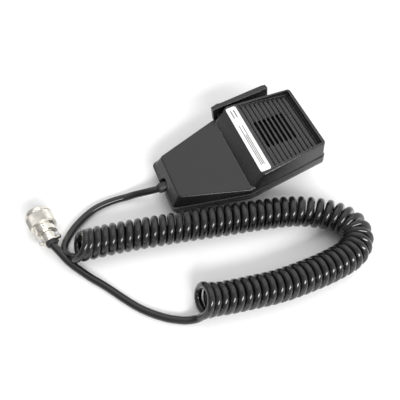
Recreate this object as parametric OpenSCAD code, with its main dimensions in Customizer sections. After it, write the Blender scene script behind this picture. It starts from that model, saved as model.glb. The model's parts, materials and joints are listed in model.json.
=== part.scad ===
// Hand microphone with a press-to-talk lever, a curly cord and a four-way plug with a screw ring.
// The microphone lies face up on its hanging stud and on the lower edge of its rear shell.
// Origin: on the table, under the middle of the microphone. +X runs to the head, +Z is up.

/* [Case] */
// Length of the case at the seam
case_len = 113; // [110:1:116]
// Width of the lower end at the seam
low_w = 43; // [41:0.5:45]
// Greatest width, where the handle meets the head
wide_w = 68; // [66:0.5:70]
// Width of the top end at the seam
top_w = 56.8; // [56:0.2:59]
// Height of the seam above the flat back
seam_h = 10; // [9.8:0.1:10.4]
// Height of the handle's face above the back, at the lower end
handle_h = 19.6; // [19:0.2:20.6]
// Height of the head's face above the back
head_h = 28.5; // [28.2:0.1:29.5]
// Wall thickness of the front shell
wall = 2.2; // [2:0.1:2.4]
// Radius of the case corners in plan
corner_r = 3.5; // [3.5:0.1:4]
// Radius of the edge around each front face
edge_r = 1.2; // [0.8:0.1:1.4]

/* [Grille] */
// Number of open sound slots
slot_count = 7; // [5:2:9]
// Pitch of the ribs and slots
slot_pitch = 3.35; // [3.2:0.05:3.4]
// Length of a sound slot
slot_len = 25; // [20:1:27]
// Width of a sound slot
slot_w = 2.4; // [1.8:0.1:2.5]

/* [Label] */
// Width of the label strip
label_w = 7.6; // [6.5:0.1:8]
// Length of the label strip
label_len = 59.6; // [56:0.2:60]

/* [Press-to-talk lever] */
// Length of the lever's bar
lever_len = 44.5; // [43:0.5:46]
// Thickness of the bar at the pivot's end
lever_t = 3.4; // [3:0.1:3.6]
// Thickness of the bar at its free end
lever_end_t = 4.6; // [4:0.1:4.8]
// Height of the bar
lever_h = 12; // [11:0.5:12.5]

/* [Hanging stud] */
// Diameter of the stud's head
stud_d = 13; // [12:0.5:14]
// Height of the stud, back of the case to end
stud_h = 8.2; // [7.8:0.1:8.6]

/* [Capsule] */
// Outer diameter of the capsule
capsule_d = 34; // [32:0.5:34]

/* [Cord] */
// Diameter of the cord
cord_d = 5.1; // [4.8:0.1:5.1]
// Outer diameter of the curly section
coil_d = 21.4; // [20:0.2:21.4]

/* [Plug] */
// Outer diameter of the lock ring
ring_d = 18; // [17.6:0.1:18]
// Length of the lock ring
ring_len = 13; // [12.5:0.5:14]
// Diameter of the plug's tail
tail_d = 10; // [9.8:0.1:10.4]

/* [Hidden] */
$fn = 48;

// Case stations along X, measured from the middle of the case.
low_x = -case_len / 2;
wide_x = low_x + 53.5;
top_x = case_len / 2;
end_slope = 6.7;      // run of the sloping lower end wall
step_slope = 8;       // run of the slope from the handle's face up to the head's face
draft = 0.045;        // how much a side wall leans in for each millimetre of height
head_taper = (wide_w - top_w) / 2 / (top_x - wide_x);
handle_taper = (wide_w - low_w) / 2 / (wide_x - low_x);
handle_fall = 0.036;  // the handle's face falls this much per millimetre towards the head
seam_gap = 0.4;
lip = 0.6;            // how far the skirt stands out from the body above it
skirt_top = 14.2;     // height of the skirt's upper edge at the top end
skirt_rise = 0.026;
tongue_gap = 0.6;     // clearance of the tongue that stands up inside the front shell
rear_wall = 3.4;
floor_t = 2.2;
plate_x0 = -36;       // shallow recess for a rating label in the flat back
plate_len = 28;
plate_w = 18;
plate_depth = 0.4;
band_h = 7.3;         // where the rear shell's bevel starts
bevel = 5;
face_x = wide_x + step_slope;
panel_under = 21.3;   // underside of the grille panel

// Attitude on the table: the stud's rim and the rear shell's lower edge both touch z = 0.
stud_x = 30.5;
neck_r = 3.4;
tilt = atan(stud_h / (stud_x - stud_d / 2 - low_x - bevel));
lift = -(low_x + bevel) * sin(tilt);
mic_x = 2.6;          // these two put the origin under the middle of the microphone's box
mic_y = -3.7;

// Grille, capsule and label places.
first_slot_x = 20.4;
recess_x0 = 14.9;
recess_x1 = top_x - 3.1;
rim_w = 2.0;
recess_start = 1.0;
recess_slope = 0.075;
groove_w = 1.6;
groove_depth = 1.6;
first_rib = -1;
last_rib = 9;
label_x = 6.2;
capsule_r = capsule_d / 2;
capsule_back = 9.4;
capsule_top = 20;
coil_r = 6.5;

// Press-to-talk mechanism.
pivot = [5, 28.5];
pivot_r = 1.25;
running_gap = 0.05;
spring_r = 1.75;
lever_x = -1.5;
lever_z = 13.5;
pin_z = 6.5;
pin_len = 14.5;
web_z = 14.5;
web_h = 4;
plunger_x = pivot[0] + 10;
switch_z = 11.5;

// Fasteners.
case_screw_at = [[-40, 13.5], [-40, -13.5], [45.5, 20], [45.5, -20]];
board_screw_at = [[-11, 20], [0.5, 19.5]];

screw_r = 1.4;
small_screw_r = 1.1;

// Cord entry, on the seam.
cord_r = cord_d / 2;
entry_x = -51;        // floor of the round notch around the grommet
notch_r = 6;
exit_x = -59.5;       // where the cord leaves the grommet
boss_len = 3;         // thickness of the wall that the grommet's groove grips
clamp_x = -44;
clamp_screw_at = [[clamp_x, 7], [clamp_x, -7]];
inner_end_x = -39;

// Free cord: the route of each stretch, on a table at z = 0.
cord_exit = [mic_x + exit_x * cos(tilt) - seam_h * sin(tilt), mic_y,
  lift + exit_x * sin(tilt) + seam_h * cos(tilt)];
lead_mic_route = [
  [-62.5, -2.5, 7.9], [-67.5, -1, 6.4], [-73.5, 1, 4.4], [-79.5, 2, 3.1], [-85.5, 2.8, 2.6],
  [-91.5, 2.8, 2.6], [-97.5, 2.3, 2.6], [-103.5, 1, 2.6], [-109.5, -1.5, 2.6], [-115.5, -5, 2.6],
  [-121, -9, 2.6], [-125.5, -13.5, 2.6], [-129.5, -18.7, 2.6], [-131, -24, 2.6],
  [-128.6, -28.8, 3], [-125.8, -31, 4.2], [-123.1, -31.6, 5]];
coil_route = [
  [-122.5, -28, 10.8], [-94, -32, 10.8], [-62, -38, 10.8], [-29, -45, 10.8], [4, -52, 10.8],
  [22, -57, 10.8], [34.8, -63.2, 10.8], [45.5, -71.3, 10.8], [52, -81.3, 10.8], [50.3, -91.2, 10.8],
  [41, -98.8, 10.8], [25, -101.8, 10.8], [6, -102.5, 10.8], [-12, -102, 10.8], [-30, -99.5, 10.8],
  [-47, -96.5, 10.8], [-61.5, -93, 10.8]];
lead_plug_route = [
  [-62.6, -97.5, 6], [-66.2, -99.3, 3.6], [-71, -99, 2.6], [-77, -96.5, 2.6], [-82.5, -93.3, 2.6],
  [-87.5, -89.5, 2.6], [-92, -85.5, 2.6], [-97, -80.3, 2.6], [-101.5, -74.5, 2.6],
  [-105.7, -68.5, 2.6], [-110, -62, 2.6], [-115, -55, 2.6], [-120, -48.5, 2.6], [-124.5, -42, 3.2],
  [-128.8, -36, 5], [-131.3, -31.8, 7], [-133.8, -26.1, 8.5], [-136.5, -20.2, 9.05]];

// Plug: its own X axis runs forward from the boot, in millimetres along the plug.
plug_at = [-136.5, -20.2, 9.05];
plug_heading = 99;
ring_r = ring_d / 2;
tail_r = tail_d / 2;
tail_x = 2.2;
tail_bore_r = 4;
barrel_x = 11.5;
barrel_end = 24;
barrel_r = 7;
bore_r = 6.4;
ring_x = 15;
lip_len = 2;
thread_x = 24.2;
thread_r = 7.75;
relief_r = 8.25;
contact_ring_r = 3.1;
cord_stop_x = 7.2;
contact_x = barrel_x - 1.3;
set_screw_x = barrel_x + 1.8;
ear_x = 5.6;
ear_y = 5.8;            // how far each clamp screw is from the plug's axis
knurl_count = 60;

black = [0.09, 0.09, 0.1];
steel = [0.75, 0.75, 0.76];

// ---- helpers ----

function unit(v) = v / norm(v);
function half_width(x) = wide_w / 2 - (x > wide_x ? (x - wide_x) * head_taper : (wide_x - x) * handle_taper);
function tangent(path, i) = unit(path[min(i + 1, len(path) - 1)] - path[max(i - 1, 0)]);
function ring(path, i, r, n) =
  let (t = tangent(path, i), s = unit(cross([0, 0, 1], t)), u = cross(t, s))
  [for (k = [0:n - 1]) path[i] + r * cos(360 * k / n) * s + r * sin(360 * k / n) * u];

// Smooth curve through the points of p, with the given number of steps between two of them.
function spline(p, steps) = concat(
  [for (i = [0:len(p) - 2], j = [0:steps - 1])
    let (t = j / steps, a = p[max(i - 1, 0)], b = p[i], c = p[i + 1], d = p[min(i + 2, len(p) - 1)])
    0.5 * (2 * b + (c - a) * t + (2 * a - 5 * b + 4 * c - d) * t * t
      + (3 * b - a - 3 * c + d) * t * t * t)],
  [p[len(p) - 1]]);

// Round tube of radius r along a path, with n sides.
module sweep(path, r, n) {
  last = len(path) - 1;
  points = [for (i = [0:last]) each ring(path, i, r, n)];
  sides = [for (i = [0:last - 1], k = [0:n - 1])
    [i * n + k, (i + 1) * n + k, (i + 1) * n + (k + 1) % n, i * n + (k + 1) % n]];
  start = [for (k = [0:n - 1]) k];
  finish = [for (k = [0:n - 1]) last * n + n - 1 - k];
  polyhedron(points = points, faces = concat([start], sides, [finish]), convexity = 6);
}

module on_table() translate([mic_x, mic_y, lift]) rotate([0, -tilt, 0]) children();
module on_plug() translate(plug_at) rotate([0, 0, plug_heading]) children();
module rod_x(x0, x1, r) translate([x0, 0, 0]) rotate([0, 90, 0]) cylinder(r = r, h = x1 - x0);
module tube_z(z0, z1, outer, inner) translate([0, 0, z0]) difference() {
  cylinder(r = outer, h = z1 - z0);
  translate([0, 0, -1]) cylinder(r = inner, h = z1 - z0 + 2);
}
module at_each(places) for (p = places) translate([p[0], p[1], 0]) children();

// Pan-head screw pointing up, with the top of its head at z = 0.
module screw(head_r, head_h, shank_r, len) {
  difference() {
    cylinder(r = head_r, h = head_h);
    for (a = [0, 90]) rotate([0, 0, a]) translate([-head_r * 0.6, -0.25, -1]) cube([head_r * 1.2, 0.5, 1.6]);
  }
  translate([0, 0, head_h]) cylinder(r = shank_r, h = len);
}

// Convex block between corner posts at height z0 and rounded corners at the heights in high.
module block(low, z0, high, inset, round_r) hull() {
  for (p = low, s = [-1, 1])
    translate([p[0], s * p[1], z0]) cylinder(r = corner_r - inset, h = 0.1, $fn = 32);
  for (p = high, s = [-1, 1], a = [0:30:90])
    translate([p[0], s * p[1], p[2] - round_r * (1 - sin(a))])
      cylinder(r = corner_r - inset - round_r * (1 - cos(a)), h = 0.01, $fn = 32);
}

// ---- case ----

// The upper body stands in by the lip at its foot, and keeps its size at the top.
module handle_block(inset, z0, drop, round_r, out = 0) {
  top_y = half_width(low_x) - 2.2 + out;
  join_x = face_x + 3;
  join_fall = (join_x - low_x - end_slope) * handle_fall;
  block([[low_x + corner_r, half_width(low_x) - corner_r], [wide_x, wide_w / 2 - corner_r],
      [join_x - corner_r, half_width(join_x) - corner_r]], z0,
    [[low_x + end_slope + corner_r - out, top_y - corner_r, handle_h - drop],
      [wide_x, wide_w / 2 - corner_r - 0.4 + out,
        handle_h - drop - (wide_x - low_x - end_slope) * handle_fall],
      [join_x - corner_r, half_width(join_x) - corner_r - 0.4 + out, handle_h - drop - join_fall]],
    inset, round_r);
}

module head_block(inset, z0, z1, round_r, out = 0) {
  foot_x = wide_x - 5.8;
  rise = head_h - seam_h;
  block([[foot_x + corner_r, half_width(foot_x) - corner_r], [wide_x, wide_w / 2 - corner_r],
      [top_x - corner_r, top_w / 2 - corner_r]], z0,
    [[face_x + corner_r, half_width(face_x) - corner_r - rise * draft + out, z1],
      [top_x - corner_r - rise * draft + out, top_w / 2 - corner_r - rise * draft + out, z1]],
    inset, round_r);
}

// Plan of the recessed panel, clear of the rim by the given amount.
module panel_plan(clear) polygon([
  [recess_x0 + clear, panel_y(recess_x0) - clear], [recess_x1 - clear, panel_y(recess_x1) - clear],
  [recess_x1 - clear, clear - panel_y(recess_x1)], [recess_x0 + clear, clear - panel_y(recess_x0)]]);
function panel_y(x) = half_width(x) - (head_h - seam_h) * draft - rim_w;
function rib_top(x) = head_h - recess_start - (x - recess_x0) * recess_slope;

module recess() intersection() {
  translate([0, 0, panel_under + 0.5]) linear_extrude(head_h) panel_plan(0);
  rotate([90, 0, 0]) translate([0, 0, -wide_w / 2]) linear_extrude(wide_w)
    polygon([[recess_x0 - 1, rib_top(recess_x0 - 1)], [recess_x1 + 1, rib_top(recess_x1 + 1)],
      [recess_x1 + 1, head_h + 5], [recess_x0 - 1, head_h + 5]]);
}

module grooves() intersection() {
  translate([0, 0, panel_under + 0.5]) linear_extrude(head_h) panel_plan(0.6);
  for (k = [first_rib:last_rib]) {
    x = first_slot_x + k * slot_pitch;
    translate([x - groove_w / 2, -wide_w / 2, rib_top(x) - groove_depth]) cube([groove_w, wide_w, 8]);
  }
}

module slot_holes() for (k = [0:slot_count - 1])
  translate([first_slot_x + (k + (7 - slot_count) / 2) * slot_pitch, 0, panel_under - 1]) {
    for (s = [-1, 1]) translate([0, s * (slot_len - slot_w) / 2, 0]) cylinder(d = slot_w, h = 8);
    translate([-slot_w / 2, (slot_w - slot_len) / 2, 0]) cube([slot_w, slot_len - slot_w, 8]);
  }

// The round notch and the hole for the grommet, on the seam line.
module cord_entry() translate([0, 0, seam_h]) {
  rod_x(low_x - 4, entry_x, notch_r);
  rod_x(entry_x - 1, entry_x + 8, 3.9);
}

module entry_boss() translate([0, 0, seam_h]) rod_x(entry_x - 2.1, entry_x + boss_len, notch_r + 1.4);

// Skirt round the foot of the front shell. Its upper edge rises towards the head.
module skirt() intersection() {
  hull() rear_outline(0, seam_h + seam_gap, skirt_top + 2);
  rotate([90, 0, 0]) translate([0, 0, -wide_w]) linear_extrude(2 * wide_w) polygon([
    [-wide_w, 0], [wide_w, 0], [wide_w, skirt_z(wide_w)], [-wide_w, skirt_z(-wide_w)]]);
}
function skirt_z(x) = skirt_top + (x - top_x) * skirt_rise;

module half_space(z0, z1) translate([-100, -60, z0]) cube([200, 120, z1 - z0]);

module front_shell() color(black) on_table() difference() {
  union() {
    difference() {
      union() {
        handle_block(lip, seam_h + seam_gap, 0, edge_r, lip);
        head_block(lip, seam_h + seam_gap, head_h, edge_r, lip);
        skirt();
      }
      handle_block(wall, seam_h - 1, wall, 0.3);
      head_block(wall, seam_h - 1, panel_under, 0.3);
      translate([face_x + 1.2, -half_width(face_x) + 4.6, panel_under - 1])
        cube([7.6, 2 * half_width(face_x) - 9.2, head_h - panel_under - 1.2]);
    }
    intersection() {
      entry_boss();
      handle_block(0, seam_h + seam_gap, 0, edge_r);
    }
    at_each([case_screw_at[0], case_screw_at[1]]) tube_z(seam_h + 1.6, handle_h - 1.5, 3.2, screw_r);
    at_each([case_screw_at[2], case_screw_at[3]]) tube_z(seam_h + 1.6, panel_under + 0.5, 3.2, screw_r);
    at_each([board_screw_at[0]]) tube_z(switch_z - 0.3, handle_h - 2.5, 2.5, small_screw_r);
    at_each([board_screw_at[1]]) tube_z(switch_z - 0.3, handle_h - 1, 2.5, small_screw_r);
    at_each(clamp_screw_at) tube_z(seam_h - cord_r, handle_h - 1.5, 2.3, small_screw_r);
    translate([clamp_x - 2.5, -4.8, seam_h + cord_r + 0.05]) cube([5, 9.6, 6]);
    translate([pivot[0], pivot[1], web_z + web_h + 0.3]) cylinder(r = 3, h = 3);
    translate([stud_x, 0, 0]) tube_z(14, panel_under + 0.5, capsule_r + 2.4, capsule_r + 0.3);
  }
  recess();
  grooves();
  slot_holes();
  cord_entry();
  translate([label_x - 0.1, -label_len / 2 - 0.1, head_h - 0.3]) cube([label_w + 0.2, label_len + 0.2, 2]);
  translate([0.3, pivot[1] - 3, web_z - 0.7]) cube([17.9, 20, web_h + 1.3]);
  translate([pivot[0], pivot[1], web_z - 0.7]) cylinder(r = 3.8, h = web_h + 1);
  translate([pivot[0], pivot[1], pin_z]) cylinder(r = pivot_r, h = pin_len);
}

module rear_outline(inset, z0, z1) {
  for (p = [[low_x + corner_r, low_w / 2 - corner_r], [wide_x, wide_w / 2 - corner_r],
      [top_x - corner_r, top_w / 2 - corner_r]], s = [-1, 1])
    translate([p[0], s * p[1], z0]) cylinder(r = corner_r - inset, h = z1 - z0, $fn = 32);
}

module rear_back(inset, z0) {
  for (p = [[low_x + corner_r + bevel, low_w / 2 - corner_r - bevel],
      [wide_x, wide_w / 2 - corner_r - bevel],
      [top_x - corner_r - bevel, top_w / 2 - corner_r - bevel]], s = [-1, 1])
    translate([p[0], s * p[1], z0]) cylinder(r = corner_r - inset, h = 0.1, $fn = 32);
}

module rear_shell() color(black) on_table() difference() {
  union() {
    difference() {
      union() {
        hull() {
          rear_outline(0, band_h, seam_h);
          rear_back(0, 0);
        }
        hull() rear_outline(wall + tongue_gap, seam_h - 1, seam_h + 1.1);
      }
      hull() {
        rear_outline(rear_wall, band_h, seam_h + 3);
        rear_back(rear_wall, floor_t);
      }
    }
    intersection() {
      entry_boss();
      half_space(floor_t - 0.5, seam_h);
    }
    at_each(case_screw_at) translate([0, 0, 1]) cylinder(r = 4.2, h = seam_h + 0.4);
    translate([pivot[0], pivot[1], 5.6]) cylinder(r = 2.8, h = seam_h - 5.6);
  }
  cord_entry();
  translate([pivot[0], pivot[1], pin_z]) cylinder(r = pivot_r, h = pin_len);
  translate([low_x - 1, -wide_w / 2, seam_h]) cube([8.5, wide_w, 5]);
  at_each(case_screw_at) {
    translate([0, 0, -1]) cylinder(r = 3.1, h = 5);
    cylinder(r = screw_r + 0.2, h = 30);
  }
  translate([stud_x, 0, -1]) cylinder(r = 1.6, h = 10);
  translate([plate_x0, -plate_w / 2, -1]) cube([plate_len, plate_w, 1 + plate_depth]);
}

module case_screws() color(steel) on_table() at_each(case_screw_at)
  translate([0, 0, 2.3]) screw(2.7, 1.7, screw_r, 12);

module label_strip() color([0.93, 0.93, 0.92]) on_table()
  translate([label_x + label_w / 2, 0, head_h - 0.3]) linear_extrude(0.4) union() {
    square([label_w, label_len - 3], center = true);
    square([label_w - 3, label_len], center = true);
    for (sx = [-1, 1], sy = [-1, 1])
      translate([sx * (label_w / 2 - 1.5), sy * (label_len / 2 - 1.5)]) circle(r = 1.5);
  }

// ---- hanging stud ----

module hang_stud() color([0.6, 0.6, 0.6]) on_table() translate([stud_x, 0, 0]) difference() {
  rotate_extrude() polygon([[0, 0], [3.7, 0], [neck_r, -0.4], [neck_r, -5.6],
    [stud_d / 2, -6], [stud_d / 2, -stud_h], [0, -stud_h]]);
  translate([0, 0, -stud_h - 1]) cylinder(r = 1.5, h = stud_h + 2);
  translate([0, 0, -stud_h - 1]) cylinder(r = 2.9, h = 3.2);
}
module hang_stud_screw() color(steel) on_table() translate([stud_x, 0, -stud_h + 0.4])
  screw(2.7, 1.8, 1.5, 12);
module hang_stud_nut() color(steel) on_table() translate([stud_x, 0, floor_t]) difference() {
  cylinder(r = 3.2, h = 2.4, $fn = 6);
  translate([0, 0, -1]) cylinder(r = 1.5, h = 5);
}

// ---- capsule ----

module at_capsule() on_table() translate([stud_x, 0, 0]) children();
module dust_screen() color([0.2, 0.2, 0.22]) at_capsule()
  translate([0, 0, panel_under - 0.4]) cylinder(r = capsule_r + 0.2, h = 0.4);
module cartridge_gasket() color([0.15, 0.15, 0.15]) at_capsule()
  tube_z(capsule_top, panel_under - 0.4, capsule_r + 0.2, capsule_r - 3);
module cartridge_cover() color([0.7, 0.7, 0.68]) at_capsule() difference() {
  translate([0, 0, capsule_top - 1.4]) cylinder(r = capsule_r, h = 1.4);
  translate([0, 0, capsule_top - 2.4]) cylinder(r = capsule_r - 1, h = 1.8);
  translate([0, 0, capsule_top - 1]) cylinder(r = 1.4, h = 2);
  for (a = [0:60:300]) rotate([0, 0, a]) translate([7.5, 0, capsule_top - 1]) cylinder(r = 1.4, h = 2);
}
module diaphragm() color([0.85, 0.8, 0.6]) at_capsule() difference() {
  translate([0, 0, 18.35]) cylinder(r = capsule_r - 0.1, h = 0.25);
  tube_z(18.5, 19, 11, 9);
}
module voice_coil() color([0.8, 0.45, 0.2]) at_capsule() tube_z(15, 18.35, coil_r, coil_r - 0.5);
module pole_piece() color([0.6, 0.6, 0.62]) at_capsule() translate([0, 0, 14.6]) cylinder(r = 5.7, h = 2);
module magnet() color([0.3, 0.3, 0.32]) at_capsule() translate([0, 0, 11.9]) cylinder(r = 5, h = 2.7);
module yoke() color([0.6, 0.6, 0.62]) at_capsule() difference() {
  translate([0, 0, capsule_back + 1]) cylinder(r = 9.5, h = 6.2);
  translate([0, 0, 11.9]) cylinder(r = coil_r + 0.3, h = 6);
}
module cartridge_case() color([0.7, 0.7, 0.68]) at_capsule() difference() {
  translate([0, 0, capsule_back]) cylinder(r = capsule_r, h = 18.35 - capsule_back);
  translate([0, 0, capsule_back + 1]) cylinder(r = capsule_r - 1, h = 12);
}
module foam_pad() color([0.25, 0.25, 0.27]) at_capsule() tube_z(floor_t, capsule_back, capsule_r - 2, 6.5);

// ---- press-to-talk lever and switch ----

module lever_plan(x0, x1, y0, y1) polygon([[x0, y0], [x0, y0 + lever_t], [x0 + 5.5, y0 + lever_t + 1.3],
  [x0 + 7.5, y0 + lever_t + 0.7], [x1 - 3, y1 + lever_end_t], [x1, y1 + lever_end_t - 0.6],
  [x1 + 0.4, y1 + 0.6], [x1 - 0.6, y1]]);

module ptt_lever() color(black) on_table() difference() {
  union() {
    translate([0, 0, lever_z]) linear_extrude(lever_h) lever_plan(lever_x, lever_x + lever_len, 35.6, 36.8);
    translate([0, 0, web_z]) linear_extrude(web_h)
      polygon([[1.9, pivot[1]], [1.9, 37], [17, 37.2], [17, 25], [plunger_x - 2, 25],
        [plunger_x - 2, pivot[1]]]);
    translate([pivot[0], pivot[1], web_z]) cylinder(r = 3.1, h = web_h);
  }
  translate([pivot[0], pivot[1], 0]) cylinder(r = pivot_r + running_gap, h = 40);
}

module ptt_pivot_pin() color(steel) on_table() translate([pivot[0], pivot[1], pin_z])
  cylinder(r = pivot_r, h = pin_len);

// Torsion spring: three turns around the pin under the lever, a leg on the wall and a leg on the web.
module ptt_return_spring() color(steel) on_table() translate([pivot[0], pivot[1], 0]) {
  turn = [for (a = [0:30:1080]) [spring_r * cos(a), spring_r * sin(a), 12 + a / 1080 * 2]];
  sweep(concat([[spring_r, -5.5, 11.95]], turn, [[spring_r + 0.3, 2, 14.15]]), 0.3, 6);
}

module switch_body() color([0.15, 0.15, 0.16]) on_table() difference() {
  translate([6, 17, switch_z]) cube([14, 5.5, 8]);
  translate([plunger_x, 20, web_z + web_h / 2]) rotate([-90, 0, 0]) cylinder(r = 1.3, h = 5);
  for (x = [8, 18]) translate([x, 16, 17.6]) rotate([-90, 0, 0]) cylinder(r = 0.8, h = 8);
}
module switch_plunger() color([0.8, 0.2, 0.15]) on_table()
  translate([plunger_x, 21.5, web_z + web_h / 2]) rotate([-90, 0, 0]) cylinder(r = 1, h = 3.1);
module switch_board() color([0.1, 0.35, 0.15]) on_table() difference() {
  translate([-16, 15.5, switch_z - 1.9]) cube([36, 9, 1.6]);
  at_each(board_screw_at) cylinder(r = small_screw_r + 0.2, h = 20);
}
module board_screws() color(steel) on_table() at_each(board_screw_at)
  translate([0, 0, switch_z - 3.3]) screw(2.2, 1.4, small_screw_r, 5);

// ---- wiring and cord entry ----

module cartridge_leads() color([0.7, 0.1, 0.1]) on_table() for (s = [0, 1])
  translate([0, -2.5 * s, 0]) sweep([[14.7, 2, 8.9], [9 - s, 4, 7.4], [5 - 2 * s, 8, 7.2],
    [2 - 3 * s, 12, 7.6], [-1 - 3 * s, 16, 8.5], [-3 - 3 * s, 18.5, 9.1]], 0.5, 6);

module cord_grommet() color([0.12, 0.12, 0.12]) on_table() translate([0, 0, seam_h])
  rotate([0, 90, 0]) rotate_extrude() polygon([
    [cord_r + 0.05, exit_x], [3, exit_x], [3.3, exit_x + 1.1], [3.6, exit_x + 1.3], [3.6, entry_x - 1.4],
    [4.6, entry_x - 1.2], [4.6, entry_x - 0.05], [3.8, entry_x - 0.05], [3.8, entry_x + boss_len + 0.05],
    [5, entry_x + boss_len + 0.05], [5, entry_x + boss_len + 1.1],
    [cord_r + 0.05, entry_x + boss_len + 1.1]]);

module cord_inner_end() color([0.12, 0.12, 0.12]) on_table() translate([0, 0, seam_h])
  rod_x(exit_x, inner_end_x, cord_r);
module cord_clamp() color(steel) on_table() difference() {
  translate([clamp_x - 2.5, -9.6, seam_h - cord_r - 1.4]) cube([5, 19.2, 1.4]);
  at_each(clamp_screw_at) cylinder(r = small_screw_r + 0.2, h = 20);
}
module cord_clamp_screws() color(steel) on_table() at_each(clamp_screw_at)
  translate([0, 0, seam_h - cord_r - 2.8]) screw(2.2, 1.4, small_screw_r, 7);

module cord_conductors() color([0.85, 0.8, 0.2]) on_table() for (k = [0:3])
  sweep([[inner_end_x + 0.1, 1.15 * k - 1.7, seam_h], [-35, 1.6 * k - 1.4, 9.6], [-30, 1.8 * k + 3, 9.1],
    [-24, 1.8 * k + 9, 8.8], [-19, 1.6 * k + 14, 8.8], [-14.4, 1.5 * k + 17, 9.1]], 0.45, 6);

// ---- free cord ----

module cord_lead_mic() color([0.05, 0.05, 0.05]) sweep(concat([cord_exit], lead_mic_route), cord_r, 8);
module cord_coil() color([0.05, 0.05, 0.05]) sweep(spline(coil_route, 2), coil_d / 2, 12);
module cord_lead_plug() color([0.05, 0.05, 0.05]) sweep(lead_plug_route, cord_r, 8);

// ---- plug ----

module plug_boot() color([0.08, 0.08, 0.08]) on_plug() rotate([0, 90, 0]) rotate_extrude() polygon([
  [cord_r + 0.05, 0], [3.3, 0], [3.7, 0.8], [3.7, tail_x + 0.5], [3.9, tail_x + 0.5], [3.9, 5.6],
  [cord_r + 0.05, 5.6]]);
module plug_cord_end() color([0.08, 0.08, 0.08]) on_plug() rod_x(0, cord_stop_x, cord_r);
module plug_conductors() color([0.85, 0.8, 0.2]) on_plug() for (a = [45:90:315])
  sweep([for (p = [[cord_stop_x + 0.25, 1.2], [cord_stop_x + 1, 1.7], [cord_stop_x + 1.8, 2.7],
    [contact_x - 0.2, contact_ring_r]]) [p[0], p[1] * cos(a), p[1] * sin(a)]], 0.45, 6);

module clamp_cut(s) translate([tail_x - 1, -10, s > 0 ? -0.1 : -20]) cube([8.1, 20, 20.1]);
module at_ears() for (s = [-1, 1]) translate([ear_x, s * ear_y, 0]) children();

module plug_shell() color(steel) on_plug() difference() {
  union() {
    difference() {
      rod_x(tail_x, barrel_x, tail_r);
      clamp_cut(1);
    }
    rod_x(barrel_x - 1.5, barrel_end, barrel_r);
    at_ears() translate([0, 0, -1.6]) cylinder(r = 1.9, h = 1.5);
  }
  rod_x(tail_x - 1, tail_x + 0.6, 3.8);
  rod_x(tail_x + 0.5, barrel_x, tail_bore_r);
  rod_x(contact_x - 0.1, barrel_x, 4.5);
  rod_x(barrel_x - 0.1, barrel_end + 1, bore_r);
  translate([set_screw_x, 0, 0]) cylinder(r = 1, h = 10);
  at_ears() translate([0, 0, -5]) cylinder(r = 0.8, h = 10);
}
module plug_cord_clamp() color(steel) on_plug() difference() {
  union() {
    difference() {
      rod_x(tail_x + 0.2, tail_x + 6.8, tail_r);
      clamp_cut(-1);
    }
    at_ears() translate([0, 0, 0.1]) cylinder(r = 1.9, h = 1.5);
  }
  rod_x(tail_x - 1, tail_x + 0.6, 3.8);
  rod_x(tail_x + 0.5, tail_x + 10, tail_bore_r);
  at_ears() translate([0, 0, -5]) cylinder(r = 1, h = 10);
  at_ears() translate([0, 0, 1.6]) cylinder(r = 1.6, h = 10);
}
module plug_clamp_screws() color(steel) on_plug() at_ears()
  translate([0, 0, 2.7]) rotate([180, 0, 0]) screw(1.45, 1.1, 0.8, 4);

module plug_insert() color([0.1, 0.1, 0.1]) on_plug() difference() {
  rod_x(barrel_x + 0.5, barrel_end - 0.5, bore_r);
  for (a = [45:90:315]) rotate([a, 0, 0]) translate([0, contact_ring_r, 0])
    rod_x(barrel_x, barrel_end, 1.15);
  translate([set_screw_x, 0, 4.4]) cylinder(r = 1, h = 3);
  translate([barrel_end - 2, -0.8, 5.4]) cube([3, 1.6, 2]);
}
module plug_contacts() color([0.85, 0.75, 0.4]) on_plug() for (a = [45:90:315])
  rotate([a, 0, 0]) translate([0, contact_ring_r, 0]) difference() {
    rod_x(contact_x, barrel_end - 0.8, 1.15);
    rod_x(barrel_x + 3, barrel_end, 0.75);
  }
module plug_set_screw() color(steel) on_plug() translate([set_screw_x, 0, 4.4]) difference() {
  cylinder(r = 1, h = 2.5);
  translate([-1.5, -0.2, 2]) cube([3, 0.4, 1]);
}
module plug_ring_clip() color(steel) on_plug() difference() {
  rod_x(ring_x + lip_len + 0.3, ring_x + lip_len + 1.1, 7.85);
  rod_x(ring_x, ring_x + 6, barrel_r);
  translate([ring_x, -1.2, -12]) cube([6, 2.4, 12]);
}

module knurl(len) linear_extrude(len) polygon([for (k = [0:2 * knurl_count - 1])
  (ring_r - (k % 2) * 0.35) * [cos(180 * k / knurl_count), sin(180 * k / knurl_count)]]);

module plug_lock_ring() color([0.8, 0.79, 0.75]) on_plug() difference() {
  union() {
    rod_x(ring_x, ring_x + ring_len, ring_r - 0.4);
    translate([ring_x + 1, 0, 0]) rotate([0, 90, 0]) knurl(ring_len - 4.5);
    rod_x(ring_x + ring_len - 2.6, ring_x + ring_len - 0.8, ring_r - 0.05);
  }
  rod_x(ring_x - 1, ring_x + ring_len, barrel_r + 0.08);
  rod_x(ring_x + lip_len, thread_x, relief_r);
  rod_x(thread_x - 0.1, ring_x + ring_len + 1, thread_r);
}

front_shell();
rear_shell();
case_screws();
label_strip();
hang_stud();
hang_stud_screw();
hang_stud_nut();
dust_screen();
cartridge_gasket();
cartridge_cover();
diaphragm();
voice_coil();
pole_piece();
magnet();
yoke();
cartridge_case();
foam_pad();
ptt_lever();
ptt_pivot_pin();
ptt_return_spring();
switch_body();
switch_plunger();
switch_board();
board_screws();
cartridge_leads();
cord_grommet();
cord_inner_end();
cord_clamp();
cord_clamp_screws();
cord_conductors();
cord_lead_mic();
cord_coil();
cord_lead_plug();
plug_boot();
plug_cord_end();
plug_conductors();
plug_shell();
plug_cord_clamp();
plug_clamp_screws();
plug_insert();
plug_contacts();
plug_set_screw();
plug_ring_clip();
plug_lock_ring();
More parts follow.
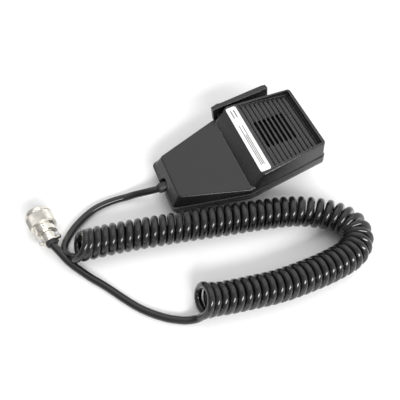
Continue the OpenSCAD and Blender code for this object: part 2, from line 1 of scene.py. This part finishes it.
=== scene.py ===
"""Hand microphone: the looks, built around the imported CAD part, in metres."""

import json
import math

import bpy
import numpy as np
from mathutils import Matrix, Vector


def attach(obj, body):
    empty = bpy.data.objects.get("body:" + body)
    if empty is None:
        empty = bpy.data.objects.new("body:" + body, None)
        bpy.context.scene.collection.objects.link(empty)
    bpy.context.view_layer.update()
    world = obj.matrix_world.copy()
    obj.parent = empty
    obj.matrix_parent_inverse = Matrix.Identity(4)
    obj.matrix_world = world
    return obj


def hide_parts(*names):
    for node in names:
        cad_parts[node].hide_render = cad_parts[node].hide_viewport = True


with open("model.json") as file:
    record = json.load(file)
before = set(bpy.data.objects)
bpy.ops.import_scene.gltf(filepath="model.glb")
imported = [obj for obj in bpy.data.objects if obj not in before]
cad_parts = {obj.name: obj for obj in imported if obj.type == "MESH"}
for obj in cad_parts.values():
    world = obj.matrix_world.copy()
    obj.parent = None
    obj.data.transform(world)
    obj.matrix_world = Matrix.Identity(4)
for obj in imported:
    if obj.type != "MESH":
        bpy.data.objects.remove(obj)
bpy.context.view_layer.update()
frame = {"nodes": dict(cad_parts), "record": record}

MM = 0.001
RECORD = frame["record"]
NODES = frame["nodes"]

# ---------------------------------------------------------------- camera

CAMERA_AT = Vector((-107.5, -206.1, 313.0)) * MM
CAMERA_LOOKS_AT = Vector((-31.5, -17.9, 0.0)) * MM
CAMERA_LENS_MM = 47


def make_camera():
    data = bpy.data.cameras.new("camera")
    data.lens = CAMERA_LENS_MM
    data.sensor_width = 36
    data.clip_start, data.clip_end = 0.01, 20
    camera = bpy.data.objects.new("camera", data)
    bpy.context.scene.collection.objects.link(camera)
    camera.location = CAMERA_AT
    camera.rotation_euler = (CAMERA_LOOKS_AT - CAMERA_AT).to_track_quat("-Z", "Y").to_euler()
    bpy.context.scene.camera = camera


# ---------------------------------------------------------------- cord

# Routes as in the CAD source, in millimetres.
LEAD_MIC = [
    (-62.5, -2.5, 7.9), (-67.5, -1, 6.4), (-73.5, 1, 4.4), (-79.5, 2, 3.1), (-85.5, 2.8, 2.6),
    (-91.5, 2.8, 2.6), (-97.5, 2.3, 2.6), (-103.5, 1, 2.6), (-109.5, -1.5, 2.6), (-115.5, -5, 2.6),
    (-121, -9, 2.6), (-125.5, -13.5, 2.6), (-129.5, -18.7, 2.6), (-131, -24, 2.6),
    (-128.6, -28.8, 3), (-125.8, -31, 4.2)]
COIL = [
    (-122.5, -28), (-94, -32), (-62, -38), (-29, -45), (4, -52), (22, -57), (34.8, -63.2), (45.5, -71.3),
    (52, -81.3), (50.3, -91.2), (41, -98.8), (25, -101.8), (6, -102.5), (-12, -102), (-30, -99.5),
    (-47, -96.5), (-61.5, -93)]
LEAD_PLUG = [
    (-65, -101, 5.9), (-67.6, -100.2, 3.9), (-70.8, -99.2, 2.9), (-74, -98, 2.6), (-77, -96.5, 2.6),
    (-82.5, -93.3, 2.6), (-87.5, -89.5, 2.6), (-92, -85.5, 2.6), (-97, -80.3, 2.6), (-101.5, -74.5, 2.6),
    (-105.7, -68.5, 2.6), (-110, -62, 2.6),
    (-115, -55, 2.6), (-120, -48.5, 2.6), (-124.5, -42, 3.2), (-128.8, -36, 5), (-131.3, -31.8, 7),
    (-133.8, -26.1, 8.5), (-136.5, -20.2, 9.05)]
CORD_EXIT = (-57.63, -3.7, 9.08)
CORD_D = 5.1
COIL_D = 21.4
COIL_Z = 10.8
# Distance along the coil's middle line and the cord's thickness there, as a share of CORD_D: it is
# stretched thinner where the turns are tightest.
THICKNESS = [(0, 1.03), (150, 1.03), (195, 0.95), (310, 0.95)]
TURN_STEPS = 20
# Distance along the coil's middle line and the pitch of the turns there.
PITCHES = [(0, 5.45), (145, 5.5), (158, 6.4), (172, 5.9), (195, 5.0), (310, 4.95)]
# Distance along it, and how far the top and the left side of a turn lean along the line, in degrees.
LEANS = [(0, 42, 0), (7, 24, 0), (25, 8, 0), (150, 2, 0), (185, -6, -2), (225, -16, -6), (290, -22, -8),
         (305, -23, -9), (317, -28, -13)]
# Distance along it and how much wider than COIL_D a turn is there: the last one springs open.
OPENING = [(304, 0), (315, 2.8)]
# Where round the turn the coil starts and ends, in degrees from its left side.
START_PHASE, END_PHASE = 222, -20
CORD_NODES = ["cord_lead_mic", "cord_coil", "cord_lead_plug"]


def smooth_line(points, step):
    """Catmull-Rom curve through the points, as points about step apart."""
    p = [np.array(q, float) for q in points]
    out = []
    for i in range(len(p) - 1):
        a, b, c, d = p[max(i - 1, 0)], p[i], p[i + 1], p[min(i + 2, len(p) - 1)]
        n = max(2, round(float(np.linalg.norm(c - b)) / step))
        for j in range(n):
            t = j / n
            out.append(0.5 * (2 * b + (c - a) * t + (2 * a - 5 * b + 4 * c - d) * t**2
                              + (3 * b - a - 3 * c + d) * t**3))
    return np.array(out + [p[-1]])


def coil_points():
    """The helix round the coil's middle line."""
    line = smooth_line([(x, y, COIL_Z) for x, y in COIL], 0.5)
    along = np.concatenate([[0], np.cumsum(np.linalg.norm(np.diff(line, axis=0), axis=1))])
    tangent = np.gradient(line, along, axis=0)
    pitch = np.interp(along, *zip(*PITCHES))
    turns = np.concatenate([[0], np.cumsum(np.diff(along) / pitch[1:])])
    drop = (START_PHASE - END_PHASE) / 360
    whole = round(turns[-1] - drop) + drop
    turns *= whole / turns[-1]
    places, *leans = zip(*LEANS)
    points, shares = [], []
    for t in np.linspace(0, whole, round(whole * TURN_STEPS) + 1):
        s = np.interp(t, turns, along)
        at, ahead = (np.array([np.interp(s, along, a[:, k]) for k in range(3)]) for a in (line, tangent))
        ahead /= np.linalg.norm(ahead)
        left = np.cross((0, 0, 1), ahead)
        phase = math.radians(START_PHASE - 360 * t)
        top, side = (math.tan(math.radians(np.interp(s, places, lean))) for lean in leans)
        share = float(np.interp(s, *zip(*THICKNESS)))
        opening = float(np.interp(s, *zip(*OPENING)))
        radius = (COIL_D + opening - CORD_D * share) / 2
        sideways, upward = math.cos(phase), math.sin(phase)
        up = np.array((0, 0, 1))
        points.append(at + opening / 2 * up
                      + radius * (sideways * left + upward * up + (side * sideways + top * upward) * ahead))
        shares.append(share)
    return np.array(points), shares


def make_cord(material):
    wound, wound_share = coil_points()
    before = smooth_line([CORD_EXIT, *LEAD_MIC, *wound[:3]], 2.0)[:-1]
    cut = int(np.argmin(np.linalg.norm(before - wound[0], axis=1)))
    before = before[:cut]
    after = smooth_line([*wound[-3:], *LEAD_PLUG], 2.0)
    cut = int(np.argmin(np.linalg.norm(after - wound[-1], axis=1))) + 1
    after = after[cut:]
    points = np.concatenate([before, wound, after]) * MM
    share = np.concatenate([np.ones(len(before)), wound_share, np.ones(len(after))])
    share = np.convolve(np.pad(share, 5, mode="edge"), np.ones(11) / 11, mode="valid")
    data = bpy.data.curves.new("cord", "CURVE")
    data.dimensions = "3D"
    data.bevel_depth = CORD_D / 2 * MM
    data.bevel_resolution = 6
    data.use_fill_caps = True
    spline = data.splines.new("POLY")
    spline.points.add(len(points) - 1)
    for point, at, r in zip(spline.points, points, share):
        point.co = (*at, 1)
        point.radius = r
    spline.use_smooth = True
    cord = bpy.data.objects.new("cord", data)
    bpy.context.scene.collection.objects.link(cord)
    cord.data.materials.append(material)
    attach(cord, "microphone")
    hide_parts(*CORD_NODES)
    return cord


# ---------------------------------------------------------------- materials

class Shader:
    """A small helper that adds nodes to one material and links them."""

    def __init__(self, name):
        self.material = bpy.data.materials.new(name)
        self.material.use_nodes = True
        self.tree = self.material.node_tree
        self.bsdf = self.tree.nodes["Principled BSDF"]
        self.place = self.add("ShaderNodeTexCoord").outputs["Object"]

    def add(self, kind, **settings):
        node = self.tree.nodes.new(kind)
        for key, value in settings.items():
            setattr(node, key, value)
        return node

    def link(self, source, target):
        self.tree.links.new(source, target)

    def set(self, **values):
        for key, value in values.items():
            self.bsdf.inputs[key.replace("_", " ")].default_value = value

    def noise(self, per_metre, detail=4.0, roughness=0.55):
        """Noise with that many features to the metre."""
        noise = self.add("ShaderNodeTexNoise")
        noise.inputs["Scale"].default_value = per_metre
        noise.inputs["Detail"].default_value = detail
        noise.inputs["Roughness"].default_value = roughness
        self.link(self.place, noise.inputs["Vector"])
        return noise.outputs["Fac"]

    def cells(self, per_metre):
        """Round cells, that many to the metre."""
        cells = self.add("ShaderNodeTexVoronoi")
        cells.inputs["Scale"].default_value = per_metre
        self.link(self.place, cells.inputs["Vector"])
        return cells.outputs["Distance"]

    def waves(self, per_metre, direction="X", distortion=0.0):
        """Bands across a direction."""
        waves = self.add("ShaderNodeTexWave", wave_type="BANDS", bands_direction=direction)
        waves.inputs["Scale"].default_value = per_metre
        waves.inputs["Distortion"].default_value = distortion
        self.link(self.place, waves.inputs["Vector"])
        return waves.outputs["Fac"]

    def ramp(self, value, stops):
        """Colour along value; each stop is (place, colour or grey)."""
        ramp = self.add("ShaderNodeValToRGB").color_ramp
        node = self.tree.nodes[-1]
        while len(ramp.elements) < len(stops):
            ramp.elements.new(0.5)
        for element, (at, colour) in zip(ramp.elements, stops):
            element.position = at
            element.color = (*colour, 1) if hasattr(colour, "__len__") else (colour, colour, colour, 1)
        self.link(value, node.inputs["Fac"])
        return node.outputs["Color"]

    def span(self, value, low, high):
        """value from 0..1 taken to low..high."""
        node = self.add("ShaderNodeMapRange")
        node.inputs["To Min"].default_value = low
        node.inputs["To Max"].default_value = high
        self.link(value, node.inputs["Value"])
        return node.outputs["Result"]

    def mix(self, share, a, b):
        """Colour a taken towards colour b by share."""
        node = self.add("ShaderNodeMix", data_type="RGBA")
        for socket, value in ((node.inputs[0], share), (node.inputs[6], a), (node.inputs[7], b)):
            if hasattr(value, "is_linked"):
                self.link(value, socket)
            elif hasattr(value, "__len__"):
                socket.default_value = (*value, 1)
            else:
                socket.default_value = value
        return node.outputs[2]

    def math(self, operation, a, b=0.0):
        node = self.add("ShaderNodeMath", operation=operation)
        for socket, value in zip(node.inputs, (a, b)):
            if hasattr(value, "is_linked"):
                self.link(value, socket)
            else:
                socket.default_value = value
        return node.outputs[0]

    def edges(self, radius, low, high):
        """1 within radius of an edge, 0 elsewhere, from how far rounding turns the surface there."""
        bevel = self.add("ShaderNodeBevel", samples=4)
        bevel.inputs["Radius"].default_value = radius
        plain = self.add("ShaderNodeNewGeometry").outputs["Normal"]
        dot = self.add("ShaderNodeVectorMath", operation="DOT_PRODUCT")
        self.link(bevel.outputs["Normal"], dot.inputs[0])
        self.link(plain, dot.inputs[1])
        node = self.add("ShaderNodeMapRange")
        node.inputs["From Min"].default_value = high
        node.inputs["From Max"].default_value = low
        self.link(dot.outputs["Value"], node.inputs["Value"])
        return node.outputs["Result"]

    def bumps(self, *layers):
        """Bump from (height, distance in metres, strength) layers, one over the other."""
        below = None
        for height, distance, strength in layers:
            node = self.add("ShaderNodeBump")
            node.inputs["Distance"].default_value = distance
            node.inputs["Strength"].default_value = strength
            self.link(height, node.inputs["Height"])
            if below is not None:
                self.link(below, node.inputs["Normal"])
            below = node.outputs["Normal"]
        self.link(below, self.bsdf.inputs["Normal"])


def case_plastic():
    """Satin black moulded plastic: fine spark-eroded grain, slightly polished along the edges, with a
    painted highlight there that lightens the colour to grey.
    """
    s = Shader("case_plastic")
    grain = s.noise(5200, 3)
    cloud = s.noise(28, 3)
    # Edge mask: the lighter colour it gives is a painted highlight; the lower roughness it gives is polish.
    polish_and_painted_highlight = s.edges(0.0005, 0.88, 0.99)
    base = s.ramp(cloud, [(0.3, (0.006, 0.006, 0.0063)), (0.7, (0.009, 0.009, 0.0093))])
    # Painted highlight: the colour is taken towards grey along every edge.
    s.link(s.mix(s.math("MULTIPLY", polish_and_painted_highlight, 0.7), base, (0.2, 0.2, 0.203)), s.bsdf.inputs["Base Color"])
    rough = s.math("SUBTRACT", s.span(s.noise(60, 5), 0.22, 0.31), s.math("MULTIPLY", polish_and_painted_highlight, 0.10))
    s.link(rough, s.bsdf.inputs["Roughness"])
    s.bumps((s.cells(2600), 0.00004, 0.35), (grain, 0.00003, 0.5))
    s.set(Specular_IOR_Level=0.54)
    return s.material


def label():
    """White satin vinyl strip."""
    s = Shader("label")
    fibre = s.noise(900, 4)
    white = s.ramp(fibre, [(0.3, (0.82, 0.82, 0.81)), (0.7, (0.88, 0.88, 0.87))])
    s.link(white, s.bsdf.inputs["Base Color"])
    s.link(s.span(s.noise(150, 4), 0.28, 0.42), s.bsdf.inputs["Roughness"])
    s.bumps((fibre, 0.00002, 0.2))
    return s.material


def cord_jacket():
    """Black jacket: satin underneath, with a thin gloss and faint waves from being wound."""
    s = Shader("cord_jacket")
    s.link(s.ramp(s.noise(90, 3), [(0.3, (0.004, 0.004, 0.0043)), (0.75, (0.008, 0.008, 0.0084))]),
           s.bsdf.inputs["Base Color"])
    s.link(s.span(s.noise(240, 4), 0.24, 0.36), s.bsdf.inputs["Roughness"])
    s.bumps((s.noise(260, 2), 0.00012, 0.2), (s.noise(2600, 3), 0.00002, 0.25))
    s.set(Specular_IOR_Level=0.12, Coat_Weight=0.95, Coat_Roughness=0.05)
    return s.material


def rubber(name, colour, rough):
    s = Shader(name)
    s.link(s.ramp(s.noise(160, 5), [(0.3, colour), (0.8, tuple(c * 1.6 for c in colour))]),
           s.bsdf.inputs["Base Color"])
    s.link(s.span(s.noise(500, 5), rough - 0.08, rough + 0.08), s.bsdf.inputs["Roughness"])
    s.bumps((s.noise(3500, 3), 0.00005, 0.5))
    return s.material


def metal(name, colour, rough, turned=0.0, lines="X"):
    """Plated or ground metal with fine tool marks, faint duller stains and a roughness that varies at
    random.
    """
    s = Shader(name)
    stain = s.noise(220, 6, 0.6)
    dull = tuple(c * 0.82 for c in colour)
    s.link(s.ramp(stain, [(0.35, dull), (0.6, colour)]), s.bsdf.inputs["Base Color"])
    s.link(s.span(s.noise(700, 5), rough - 0.06, rough + 0.08), s.bsdf.inputs["Roughness"])
    layers = [(s.noise(2400, 4), 0.00003, 0.3)]
    if turned:
        layers.append((s.waves(turned, lines, 1.5), 0.00002, 0.25))
    s.bumps(*layers)
    s.set(Metallic=1.0)
    return s.material


def plain_plastic(name, colour, rough=0.4):
    s = Shader(name)
    dark = tuple(c * 0.86 for c in colour)
    s.link(s.ramp(s.noise(120, 4), [(0.35, dark), (0.65, colour)]), s.bsdf.inputs["Base Color"])
    s.link(s.span(s.noise(400, 4), rough - 0.06, rough + 0.08), s.bsdf.inputs["Roughness"])
    s.bumps((s.noise(3000, 3), 0.00003, 0.35))
    return s.material


def cloth(name, colour, threads):
    """Fine woven screen cloth, with painted shade in the gaps between the threads."""
    s = Shader(name)
    warp, weft = s.waves(threads, "X"), s.waves(threads, "Y")
    weave = s.math("MAXIMUM", warp, weft)
    # Painted shade: the gaps between the threads are darkened to a third of the colour.
    painted_shade_colour = tuple(c * 0.3 for c in colour)
    s.link(s.ramp(weave, [(0.2, painted_shade_colour), (0.8, colour)]), s.bsdf.inputs["Base Color"])
    s.set(Roughness=0.9)
    s.bumps((weave, 0.0002, 0.7))
    return s.material


def foam(name, colour):
    s = Shader(name)
    pores = s.cells(900)
    # Painted shade: the pores are darkened to a third of the colour towards their middles.
    painted_shade_colour = tuple(c * 0.3 for c in colour)
    s.link(s.ramp(pores, [(0.05, painted_shade_colour), (0.5, colour)]), s.bsdf.inputs["Base Color"])
    s.set(Roughness=0.95)
    s.bumps((pores, 0.0004, 0.8))
    return s.material


def board(name):
    s = Shader(name)
    weave = s.math("MAXIMUM", s.waves(600, "X"), s.waves(600, "Y"))
    green = s.ramp(weave, [(0.2, (0.02, 0.10, 0.04)), (0.8, (0.035, 0.16, 0.06))])
    s.link(green, s.bsdf.inputs["Base Color"])
    s.link(s.span(s.noise(300, 3), 0.25, 0.4), s.bsdf.inputs["Roughness"])
    s.bumps((weave, 0.00005, 0.3))
    return s.material


MATERIALS = {
    "case_plastic": case_plastic(),
    "label": label(),
    "stud_metal": metal("stud_metal", (0.62, 0.62, 0.61), 0.32, 900, "Z"),
    "steel": metal("steel", (0.60, 0.60, 0.61), 0.30),
    "magnet_iron": metal("magnet_iron", (0.25, 0.25, 0.26), 0.45),
    "screen_cloth": cloth("screen_cloth", (0.03, 0.03, 0.032), 420),
    "soft_rubber": rubber("soft_rubber", (0.014, 0.014, 0.0145), 0.5),
    "soft_foam": foam("soft_foam", (0.09, 0.09, 0.1)),
    "capsule_metal": metal("capsule_metal", (0.72, 0.72, 0.71), 0.3),
    "diaphragm_film": plain_plastic("diaphragm_film", (0.75, 0.68, 0.42), 0.25),
    "copper": metal("copper", (0.8, 0.42, 0.22), 0.3, 1800, "Z"),
    "switch_plastic": plain_plastic("switch_plastic", (0.05, 0.05, 0.055)),
    "plunger_plastic": plain_plastic("plunger_plastic", (0.55, 0.06, 0.04), 0.3),
    "board": board("board"),
    "wire_insulation": plain_plastic("wire_insulation", (0.6, 0.3, 0.06), 0.35),
    "cord_jacket": cord_jacket(),
    "plug_metal": metal("plug_metal", (0.83, 0.80, 0.74), 0.2),
    "insert_plastic": plain_plastic("insert_plastic", (0.03, 0.03, 0.03), 0.45),
    "contact_brass": metal("contact_brass", (0.86, 0.68, 0.35), 0.25),
}

SLOT_OF = {row["node"]: row["material_slot"] for row in RECORD["subparts"]}


def dress(node):
    """Gives a CAD node its material, rounds its sharp edges a little and shades it smooth."""
    part = NODES[node]
    part.data.materials.clear()
    part.data.materials.append(MATERIALS[SLOT_OF[node]])
    weld = part.modifiers.new("weld", "WELD")
    weld.merge_threshold = 2e-6
    flat = part.modifiers.new("flat", "DECIMATE")
    flat.decimate_type = "DISSOLVE"
    flat.angle_limit = math.radians(0.5)
    width = BEVEL_MM.get(node, 0.12) * MM
    bevel = part.modifiers.new("bevel", "BEVEL")
    bevel.width = width
    bevel.segments = 2
    bevel.limit_method = "ANGLE"
    bevel.angle_limit = math.radians(38)
    bevel.use_clamp_overlap = True
    part.data.shade_smooth()
    smooth = part.modifiers.new("normals", "WEIGHTED_NORMAL")
    smooth.keep_sharp = False


BEVEL_MM = {"front_shell": 0.4, "rear_shell": 0.45, "ptt_lever": 0.45, "plug_lock_ring": 0.08,
            "label_strip": 0.08, "hang_stud": 0.25, "plug_shell": 0.2, "plug_cord_clamp": 0.2}

make_camera()
cord = make_cord(MATERIALS["cord_jacket"])
for name in sorted(NODES):
    if name not in CORD_NODES:
        dress(name)


# ---------------------------------------------------------------- print on the label, thread in the ring

# The microphone lies on its stud and on the lower edge of its handle's end, so its own axes are tilted.
# In millimetres, as in the CAD source: the stud's height, and from that edge to the stud's near side and
# to the middle of the case.
STUD_H, EDGE_TO_STUD, EDGE_TO_MIDDLE = 8.2, 75.5, 51.5
TILT = math.atan(STUD_H / EDGE_TO_STUD)
CASE_AT = Vector((2.6, -3.7, EDGE_TO_MIDDLE * math.sin(TILT)))
# The label's face and the top of the print on it, above the case's flat back.
LABEL_TOP, PRINT_TOP = 28.6, 28.64
ROUND_END_STEPS = 9


def case_place(x, y, z):
    """A place given along the microphone's own axes, from the middle of its flat back, in metres."""
    c, s = math.cos(TILT), math.sin(TILT)
    return (CASE_AT + Vector((x * c - z * s, y, x * s + z * c))) * MM


def make_label_print():
    """Plain printed rules along the strip, with round ends and no lettering."""
    verts, faces = [], []
    for x, y0, y1, width in LABEL_RULES:
        outline = []
        for end, way in ((y1, 1), (y0, -1)):
            for k in range(ROUND_END_STEPS):
                turn = math.radians(180 * (k + 0.5) / ROUND_END_STEPS) + (0 if way > 0 else math.pi)
                outline.append((x + width / 2 * math.cos(turn), end + width / 2 * math.sin(turn)))
        for height in (LABEL_TOP, PRINT_TOP):
            verts += [case_place(px, py, height) for px, py in outline]
        low = len(verts) - 2 * len(outline)
        n = len(outline)
        faces.append([low + n + k for k in range(n)])
        faces += [[low + k, low + (k + 1) % n, low + n + (k + 1) % n, low + n + k] for k in range(n)]
    mesh = bpy.data.meshes.new("label_print")
    mesh.from_pydata([tuple(v) for v in verts], [], faces)
    piece = bpy.data.objects.new("label_print", mesh)
    bpy.context.scene.collection.objects.link(piece)
    mesh.materials.append(plain_plastic("label_ink", (0.05, 0.05, 0.055), 0.45))
    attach(piece, "microphone")


# Across the case, from and to along the strip, and the width of each rule.
LABEL_RULES = [(8.9, 19.5, 26.5, 0.7), (11.1, 19.5, 26.5, 0.7), (8.9, -24.5, 11.5, 0.5),
               (10.0, -24.5, 2.5, 0.5), (11.1, -24.5, 11.5, 0.5)]

PLUG_AT = Vector((-136.5, -20.2, 9.05))
PLUG_HEADING = math.radians(99)
# The thread's radius, where it starts and ends along the plug, its pitch and its ridge's radius.
THREAD_R, THREAD_FROM, THREAD_TO, THREAD_PITCH, RIDGE_R = 7.72, 24.5, 27.7, 0.75, 0.24
THREAD_STEPS = 36


def make_thread():
    """The screw thread inside the lock ring, as a fine spiral ridge."""
    ahead = Vector((math.cos(PLUG_HEADING), math.sin(PLUG_HEADING), 0))
    left, up = Vector((-ahead.y, ahead.x, 0)), Vector((0, 0, 1))
    data = bpy.data.curves.new("ring_thread", "CURVE")
    data.dimensions = "3D"
    data.bevel_depth = RIDGE_R * MM
    data.bevel_resolution = 1
    data.use_fill_caps = True
    steps = round((THREAD_TO - THREAD_FROM) / THREAD_PITCH * THREAD_STEPS)
    spline = data.splines.new("POLY")
    spline.points.add(steps)
    for k, point in enumerate(spline.points):
        turn = math.tau * k / THREAD_STEPS
        at = (PLUG_AT + ahead * (THREAD_FROM + THREAD_PITCH * k / THREAD_STEPS)
              + THREAD_R * (math.cos(turn) * left - math.sin(turn) * up))
        point.co = (*(at * MM), 1)
    thread = bpy.data.objects.new("ring_thread", data)
    bpy.context.scene.collection.objects.link(thread)
    data.materials.append(MATERIALS["plug_metal"])
    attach(thread, "plug_lock_ring")


make_label_print()
make_thread()


# ---------------------------------------------------------------- stage

def pale(name, colour, rough):
    material = bpy.data.materials.new(name)
    material.use_nodes = True
    bsdf = material.node_tree.nodes["Principled BSDF"]
    bsdf.inputs["Base Color"].default_value = (*colour, 1)
    bsdf.inputs["Roughness"].default_value = rough
    return material


def make_floor():
    mesh = bpy.data.meshes.new("floor")
    half = 3.0
    corners = [(-half, -half, 0), (half, -half, 0), (half, half, 0), (-half, half, 0)]
    mesh.from_pydata(corners, [], [(0, 1, 2, 3)])
    floor = bpy.data.objects.new("floor", mesh)
    bpy.context.scene.collection.objects.link(floor)
    floor.data.materials.append(pale("floor_white", (0.9, 0.9, 0.9), 0.7))


def make_area(name, at, looks_at, size, power):
    data = bpy.data.lights.new(name, "AREA")
    data.shape = "RECTANGLE"
    data.size, data.size_y = size
    data.energy = power
    light = bpy.data.objects.new(name, data)
    bpy.context.scene.collection.objects.link(light)
    light.location = at
    light.rotation_euler = (Vector(looks_at) - Vector(at)).to_track_quat("-Z", "Y").to_euler()


# How bright the surroundings are on the side of the plug and on the side of the head.
WORLD_LEFT, WORLD_RIGHT = 0.34, 1.2


def make_light():
    middle = (-0.03, -0.04, 0.01)
    make_area("overhead", (0.05, 0.35, 1.0), middle, (1.2, 1.0), 2.4)
    make_area("strip", (0.08, -1.04, 0.76), middle, (1.0, 0.26), 15)
    world = bpy.data.worlds.new("world")
    world.use_nodes = True
    nodes, links = world.node_tree.nodes, world.node_tree.links
    nodes["Background"].inputs["Color"].default_value = (1, 1, 1, 1)
    direction = nodes.new("ShaderNodeTexCoord").outputs["Generated"]
    split = nodes.new("ShaderNodeSeparateXYZ")
    across = nodes.new("ShaderNodeMapRange")
    across.inputs["From Min"].default_value = -1
    across.inputs["To Min"].default_value = WORLD_LEFT
    across.inputs["To Max"].default_value = WORLD_RIGHT
    links.new(direction, split.inputs["Vector"])
    links.new(split.outputs["X"], across.inputs["Value"])
    links.new(across.outputs["Result"], nodes["Background"].inputs["Strength"])
    bpy.context.scene.world = world
    bpy.context.scene.view_settings.view_transform = "Standard"


make_floor()
make_light()
